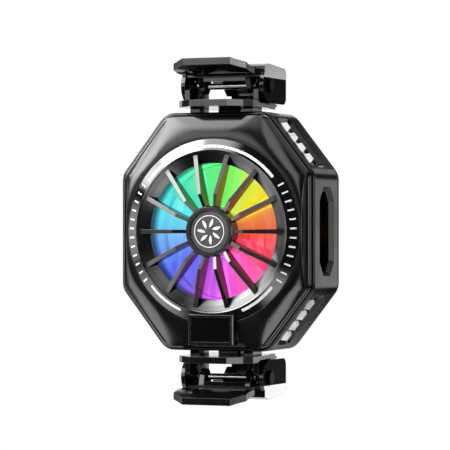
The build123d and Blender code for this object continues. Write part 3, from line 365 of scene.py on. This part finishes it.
# The coloured light: hues round the fan's axis, by share of a clockwise turn from the top
light_shares = (
    (0.00, (0.10, 1.00, 0.16)),
    (0.06, (0.52, 1.00, 0.10)),
    (0.13, (1.00, 0.88, 0.02)),
    (0.20, (0.92, 0.26, 0.06)),
    (0.28, (0.92, 0.05, 0.04)),
    (0.36, (1.00, 0.06, 0.20)),
    (0.43, (1.00, 0.12, 0.48)),
    (0.515, (1.00, 0.09, 1.00)),
    (0.57, (0.28, 0.10, 0.66)),
    (0.65, (0.10, 0.15, 0.98)),
    (0.73, (0.18, 0.44, 0.95)),
    (0.79, (0.12, 0.82, 0.98)),
    (0.86, (0.07, 0.82, 0.66)),
    (0.93, (0.12, 0.96, 0.38)),
)
# Pale streaks on the lit pieces: painted highlights of the fins
streak_size = 1.6 * mm
streak_stretch = (1, 1, 0.12)
streak_levels = (0.45, 0.72)
streak_highlight_colour = (1, 0.8, 0.86, 1)
# The share of the glow at the tube's front: painted shade
front_shade_share = 0.3

# Where the lit pieces glow: painted light, laid on as emission
tube_glow_radius = 19.0 * mm
# The tube glows dimmer at its front: painted shade
tube_front_shade_depths = (tube_low.y + 0.5 * mm, tube_low.y + 3.5 * mm)
fin_glow_radius = 20.5 * mm
fin_glow_half = fin_high.x - 0.1 * mm
# The frame's shelf round the bore: painted light, emission on black plastic
shelf_glow = 0.6
shelf_glow_radius = 19.6 * mm
shelf_glow_depth = -14.6 * mm
shelf_seam_from = shelf_glow_radius + 1 * mm

# Lit pieces' own finish
lit_base_grey = 0.02
lit_ior = 1.3
lit_cloud_size = 4 * mm
lit_relief_size = 0.4 * mm
lit_relief_depth = 0.004 * mm
lit_edge = 0.05 * mm


def rainbow(tree):
    """The light's colour at a point: it stays with the body while the rotor turns."""
    place = split(tree, add_node(tree, "ShaderNodeNewGeometry").outputs["Position"])
    angle = calc(tree, "ARCTAN2", place["X"], place["Z"])
    turns = calc(tree, "DIVIDE", angle, 2 * math.pi)
    share = calc(tree, "FRACT", calc(tree, "ADD", turns, 1.0))
    ramp = add_node(tree, "ShaderNodeValToRGB", {0: share})
    stops = ramp.color_ramp.elements
    for stop, position in ((stops[1], 1.0), (stops[0], 0.0)):
        stop.position = position
        stop.color = light_shares[0][1] + (1,)
    for position, colour in light_shares[1:]:
        stops.new(position).color = colour + (1,)
    return ramp.outputs["Color"], place


def painted_fin_streaks(tree, place):
    """Soft upright streaks: painted highlights of the fins."""
    flat = add_node(tree, "ShaderNodeCombineXYZ", {0: place["X"], 2: place["Z"]}).outputs[0]
    return noise(tree, streak_size, 2.0, streak_stretch, flat)


def axis_radius(tree, place):
    """Distance from the fan's axis."""
    x_squared = calc(tree, "MULTIPLY", place["X"], place["X"])
    z_squared = calc(tree, "MULTIPLY", place["Z"], place["Z"])
    return calc(tree, "SQRT", calc(tree, "ADD", x_squared, z_squared))


def add_glow(tree, surface, strength, streak_highlight=0.0, within=None, behind=None, deeper=None, across=None):
    """Coloured light laid on as emission all over a surface, or only within a radius, which the
    rest narrows: painted light on pieces that are no lamp.

    behind is the depth from which it glows and across the greatest distance to each side.
    deeper is a pair of depths, and it grows brighter from one to the other, the dimmer front being
    painted shade. Lighter streaks laid on it are painted highlights of the fins.
    """
    hue, place = rainbow(tree)
    if streak_highlight:
        streaks = remap(tree, painted_fin_streaks(tree, place), *streak_levels, 0.0, streak_highlight)
        hue = mix_colour(tree, streaks, hue, streak_highlight_colour)
    if within:
        share = calc(tree, "LESS_THAN", axis_radius(tree, place), within)
        if behind:
            share = calc(tree, "MULTIPLY", share, calc(tree, "GREATER_THAN", place["Y"], behind))
        if across:
            inside = calc(tree, "LESS_THAN", calc(tree, "ABSOLUTE", place["X"]), across)
            share = calc(tree, "MULTIPLY", share, inside)
        if deeper:
            # Dimmer towards the front: painted shade
            depth_shade = remap(tree, place["Y"], *deeper, front_shade_share, 1.0)
            share = calc(tree, "MULTIPLY", share, depth_shade)
        hue = mix_colour(tree, share, grey(0), hue)
    tree.links.new(hue, surface.inputs["Emission Color"])
    surface.inputs["Emission Strength"].default_value = strength


def lit_material(name, glow, roughness, see_through=0.0, **limits):
    """A clear or metal piece with the coloured lamps' light laid on as emission: painted light on
    the rotor, fins and fan base, while the diffuser tube glows itself.
    """
    material, tree, surface = new_material(name)
    surface.inputs["Base Color"].default_value = grey(lit_base_grey)
    surface.inputs["IOR"].default_value = lit_ior
    cloud = noise(tree, lit_cloud_size, 3.0)
    gloss = remap(tree, cloud, 0.3, 0.7, roughness * 0.8, roughness * 1.3)
    tree.links.new(gloss, surface.inputs["Roughness"])
    add_glow(tree, surface, glow, **limits)
    set_normal(tree, surface, noise(tree, lit_relief_size), lit_relief_depth, lit_edge)
    if see_through:
        mix_shaders(tree, see_through, surface, add_node(tree, "ShaderNodeBsdfTransparent"))
    return material


def frame_material():
    """Black shell whose bore is given the coloured light as emission, which is painted light."""
    material = plastic("frame_shell", black, 0.20, 0.04, 0.5, 0.0009, edge_wear_and_highlight=0.5, groove_shade=False)
    tree = material.node_tree
    surface = tree.nodes["Principled BSDF"]
    # Painted light: the shelf glows with the coloured light, though it is black plastic
    add_glow(tree, surface, shelf_glow, within=shelf_glow_radius, behind=shelf_glow_depth)
    place = split(tree, piece_coordinates(tree))
    outside = calc(tree, "GREATER_THAN", axis_radius(tree, place), shelf_seam_from)
    # Painted shade in seams and grooves away from the shelf
    paint_groove_shade_and_matte(tree, surface, outside=outside)
    return material


# Plastics: colour, roughness, its spread, grain size and depth in mm, and what isn't usual
plastics = {
    "gloss_shell": (black, 0.09, 0.03, 0.9, 0.0006, {"ior": 1.8, "edge_wear_and_highlight": 0.6}),
    "cover_shell": (black, 0.15, 0.02, 0.6, 0.0008, {"ior": 1.6, "edge": 0.14, "edge_wear_and_highlight": 0.2}),
    "satin_shell": (black, 0.27, 0.05, 0.5, 0.0009, {"edge_wear_and_highlight": 0.5}),
    "dark_window": ((0.002, 0.002, 0.0025, 1), 0.05, 0.01, 2, 0.0003, {"ior": 1.45}),
    "black_nylon": ((0.02, 0.02, 0.021, 1), 0.45, 0.06, 0.3, 0.006, {}),
    "circuit": ((0.006, 0.05, 0.022, 1), 0.35, 0.05, 0.6, 0.004, {}),
    "lamp": ((0.9, 0.88, 0.7, 1), 0.2, 0.05, 0.5, 0.002, {}),
    "module_white": ((0.8, 0.8, 0.77, 1), 0.5, 0.05, 0.3, 0.004, {}),
    "foam": ((0.02, 0.02, 0.02, 1), 0.9, 0.05, 0.35, 0.05, {}),
    "silicone": ((0.12, 0.14, 0.17, 1), 0.55, 0.06, 0.3, 0.008, {}),
    "jaw_rubber": ((0.012, 0.012, 0.012, 1), 0.6, 0.08, 0.25, 0.01, {}),
    "print_white": (white_paint, 0.35, 0.05, 0.2, 0.002, {"edge": 0}),
}

# Metals: colour, roughness, grain size in mm and the grain's stretch
metals = {
    "bright_stud": ((0.86, 0.86, 0.88, 1), 0.12, 0.3),
    "bare_aluminium": ((0.78, 0.79, 0.81, 1), 0.32, 0.25, (0.05, 1, 1)),
    "steel": ((0.74, 0.74, 0.76, 1), 0.16, 0.15, (0.08, 1, 1)),
    "black_screw": ((0.10, 0.10, 0.11, 1), 0.28, 0.2),
    "bronze": ((0.60, 0.42, 0.20, 1), 0.35, 0.2),
    "core_steel": ((0.30, 0.30, 0.32, 1), 0.4, 0.2, (1, 6, 1)),
    "copper": ((0.72, 0.32, 0.14, 1), 0.3, 0.18, (1, 5, 1)),
    "magnet": ((0.12, 0.12, 0.13, 1), 0.45, 0.2),
}

# Lit pieces, their light laid on as emission, painted light but for the tube's own glow: glow,
# roughness, and what they let through or where they glow
lit_pieces = {
    "clear_tube": (0.9, 0.25, {"within": tube_glow_radius, "deeper": tube_front_shade_depths}),
    "clear_rotor": (0.86, 0.15, {"see_through": 0.35, "streak_highlight": 0.12}),
    "lit_fins": (1.0, 0.4, {"streak_highlight": 0.14, "within": fin_glow_radius, "across": fin_glow_half}),
    "lit_base": (0.8, 0.5, {"streak_highlight": 0.1}),
}

# Nodes whose finish differs from their slot's usual one
special_finishes = {
    "front_cover": "cover_shell",
    "mid_frame": "frame_shell",
    "fan_guard": "guard_shell",
    "upper_lever": "lever_shell",
    "lower_lever": "lever_shell",
    "upper_pivot_pin": "pin_steel",
    "lower_pivot_pin": "pin_steel",
    "heatsink": "lit_fins",
    "fan_base": "lit_base",
}


def make_materials():
    made = {
        "frame_shell": frame_material(),
        "guard_shell": guard_material(),
        "lever_shell": lever_material(),
        "pin_steel": pin_material(),
        "hub_disc": badge_material(),
    }
    for name, (*values, unusual) in plastics.items():
        made[name] = plastic(name, *values, **unusual)
    for name, values in metals.items():
        made[name] = metal(name, *values)
    for name, (glow, roughness, limits) in lit_pieces.items():
        made[name] = lit_material(name, glow, roughness, **limits)
    return made


def assign_materials(made):
    for entry in frame["record"]["subparts"]:
        node = nodes[entry["node"]]
        finish = made[special_finishes.get(entry["node"], entry["material_slot"])]
        for slot in node.material_slots:
            slot.material = finish
        if not node.material_slots:
            node.data.materials.append(finish)


def link_mesh(name, mesh, material, body):
    piece = bpy.data.objects.new(name, mesh)
    bpy.context.scene.collection.objects.link(piece)
    mesh.materials.clear()
    mesh.materials.append(material)
    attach(piece, body)
    return piece


# Print on the trim ring: bands that lie on its cone, at clockwise angles from the top
print_lift = 0.03 * mm
ring_outer = ring_high.x
ring_edge_y = ring_high.y - 1.35 * mm
ring_lip = 0.35 * mm
ring_inner = 21.8 * mm
arc_radius = 23.15 * mm
arc_width = 0.72 * mm
arc_spans = {"top": (-53, 51), "lower_right": (130, 157), "lower_left": (203, 230)}
tick_start = 58
tick_end = 124
tick_step = 6
tick_width = 1.1
tick_inner = 23.0 * mm
tick_outer = 24.6 * mm


def ring_depth(radius):
    """The depth of the ring's sloping band at a radius."""
    share = (ring_outer - radius) / (ring_outer - ring_inner - ring_lip)
    return ring_edge_y + (ring_low.y - ring_edge_y) * share - print_lift


def ring_point(degrees, radius):
    angle = math.radians(degrees)
    return Vector((radius * math.sin(angle), ring_depth(radius), radius * math.cos(angle)))


def print_bands(name, spans, inner, outer, made, step=1.5):
    """Bands of paint on the ring's cone, each from one clockwise angle to another."""
    shape = bmesh.new()
    for start, end in spans:
        count = max(1, round((end - start) / step))
        rows = []
        for index in range(count + 1):
            degrees = start + (end - start) * index / count
            rows.append([shape.verts.new(ring_point(degrees, radius)) for radius in (inner, outer)])
        for here, there in zip(rows, rows[1:]):
            shape.faces.new((here[0], here[1], there[1], there[0]))
    bmesh.ops.recalc_face_normals(shape, faces=shape.faces)
    mesh = bpy.data.meshes.new(name)
    shape.to_mesh(mesh)
    shape.free()
    link_mesh(name, mesh, made["print_white"], "housing")


def print_on_ring(made):
    for name, span in arc_spans.items():
        inner = arc_radius - arc_width / 2
        print_bands("print_arc_" + name, [span], inner, inner + arc_width, made)
    for name, sign in (("right", 1), ("left", -1)):
        middles = [sign * degrees for degrees in range(tick_start, tick_end + 1, tick_step)]
        spans = [(middle - tick_width / 2, middle + tick_width / 2) for middle in middles]
        print_bands("print_ticks_" + name, spans, tick_inner, tick_outer, made)


def shorten_springs(made):
    for side, sign in (("upper", 1), ("lower", -1)):
        node = side + "_return_spring"
        mesh = nodes[node].data.copy()
        coils = link_mesh(side + "_spring_coils", mesh, made["steel"], "housing")
        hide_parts(node)
        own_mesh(coils)


# Studio: soft patches of light by azimuth, elevation, half width, softness and strength
studio_patches = {
    "key": (-47, 27, 15, 0.6, 10.5),
    "arc_high": (-54, 45, 6, 0.5, 9.0),
    "arc_middle": (-65, 36, 7, 0.5, 9.0),
    "arc_low": (-74, 24, 5, 0.5, 8.0),
    "top": (-36, 53, 11, 0.6, 4.6),
    "crown": (-16, 30, 7, 0.6, 1.5),
    "brow": (-24, 9, 6.5, 0.35, 1.9),
    "front_high": (7, 27, 9, 0.7, 2.1),
    "front_middle": (6, 13, 5, 0.6, 1.2),
    "front_low": (13, -30, 10, 0.7, 3.2),
    "low_left": (-59, -23, 15, 0.5, 2.9),
    "left": (-82, 0, 10, 0.5, 2.1),
    "right_small": (51, 3, 6, 0.4, 4.5),
    "right_rim": (68, 2, 12, 0.4, 2.2),
    "right_card": (133, 3, 12, 0.4, 2.0),
    "right_high": (112, 52, 14, 0.5, 1.8),
    "stud_card": (53, 49, 10, 0.5, 1.1),
    "stud_low": (51, -47, 9, 0.5, 0.27),
    "side_high": (168, 18, 6, 0.4, 0.8),
    "side_low": (158, -4.5, 7, 0.5, 1.15),
    "rear_top": (180, 64, 14, 0.5, 5.0),
    "rear_left": (-124, 40, 11, 0.5, 4.0),
    "rear_right": (138, -46, 11, 0.5, 1.5),
}
white_behind = (-148, 8, 24, 0.3, 1.0)
room_level = 0.02


def direction(azimuth, elevation):
    """A direction from the object: azimuth 0 is towards -Y and positive is to the right."""
    turn = math.radians(azimuth)
    rise = math.radians(elevation)
    flat = math.cos(rise)
    return Vector((math.sin(turn) * flat, -math.cos(turn) * flat, math.sin(rise)))


def soft_disc(tree, way, azimuth, elevation, half_width, softness, strength):
    """A round patch of the sky with soft edges."""
    middle = direction(azimuth, elevation)
    towards = add_node(tree, "ShaderNodeVectorMath", {0: way, 1: middle}, operation="DOT_PRODUCT")
    inner = math.cos(math.radians(half_width * (1 - softness)))
    outer = math.cos(math.radians(half_width * (1 + softness)))
    return remap(tree, towards.outputs["Value"], outer, inner, 0.0, strength)


def background_rays(tree):
    """1 for camera rays, and 1 for all rays that show the background."""
    rays = add_node(tree, "ShaderNodeLightPath").outputs
    seen = calc(tree, "MAXIMUM", rays["Is Camera Ray"], rays["Is Glossy Ray"])
    return rays["Is Camera Ray"], calc(tree, "MAXIMUM", seen, rays["Is Transmission Ray"])


def make_world():
    """White to the camera, and a dark room with soft lights and a white patch for the object."""
    world = bpy.data.worlds.new("studio")
    bpy.context.scene.world = world
    world.use_nodes = True
    tree = world.node_tree
    way = add_node(tree, "ShaderNodeTexCoord").outputs["Generated"]
    camera_ray, seen = background_rays(tree)
    behind = calc(tree, "MULTIPLY", soft_disc(tree, way, *white_behind), seen)
    level = calc(tree, "MAXIMUM", behind, room_level)
    for patch in studio_patches.values():
        level = calc(tree, "ADD", level, soft_disc(tree, way, *patch))
    shown = add_node(tree, "ShaderNodeMix", data_type="FLOAT")
    tree.links.new(camera_ray, shown.inputs[0])
    tree.links.new(level, shown.inputs[2])
    shown.inputs[3].default_value = 1.0
    back = tree.nodes["Background"]
    tree.links.new(shown.outputs[0], back.inputs["Strength"])
    back.inputs["Color"].default_value = grey(1.0)


# Floor: wide, and short in front, so that the low lights reach the object
floor_drop = 110 * mm
floor_half = 300 * mm
floor_front = 95 * mm
floor_grey = 0.93
floor_roughness = 0.8
floor_white_share = 0.8


def make_floor():
    mesh = bpy.data.meshes.new("floor")
    height = cad_low.z - floor_drop
    rows = ((-floor_half, floor_half, -floor_front), (floor_half, -floor_half, floor_half))
    corners = [(x, y, height) for first, second, y in rows for x in (first, second)]
    mesh.from_pydata(corners, [], [(0, 1, 2, 3)])
    floor = bpy.data.objects.new("floor", mesh)
    bpy.context.scene.collection.objects.link(floor)
    material, tree, surface = new_material("floor")
    surface.inputs["Base Color"].default_value = grey(floor_grey)
    surface.inputs["Roughness"].default_value = floor_roughness
    white = add_node(tree, "ShaderNodeEmission", {"Color": grey(1.0), "Strength": 1.0})
    share = calc(tree, "MULTIPLY", background_rays(tree)[1], floor_white_share)
    mix_shaders(tree, share, surface, white)
    mesh.materials.append(material)


make_camera()
finishes = make_materials()
assign_materials(finishes)
print_on_ring(finishes)
shorten_springs(finishes)
make_world()
make_floor()
bpy.context.scene.view_settings.view_transform = "Standard"
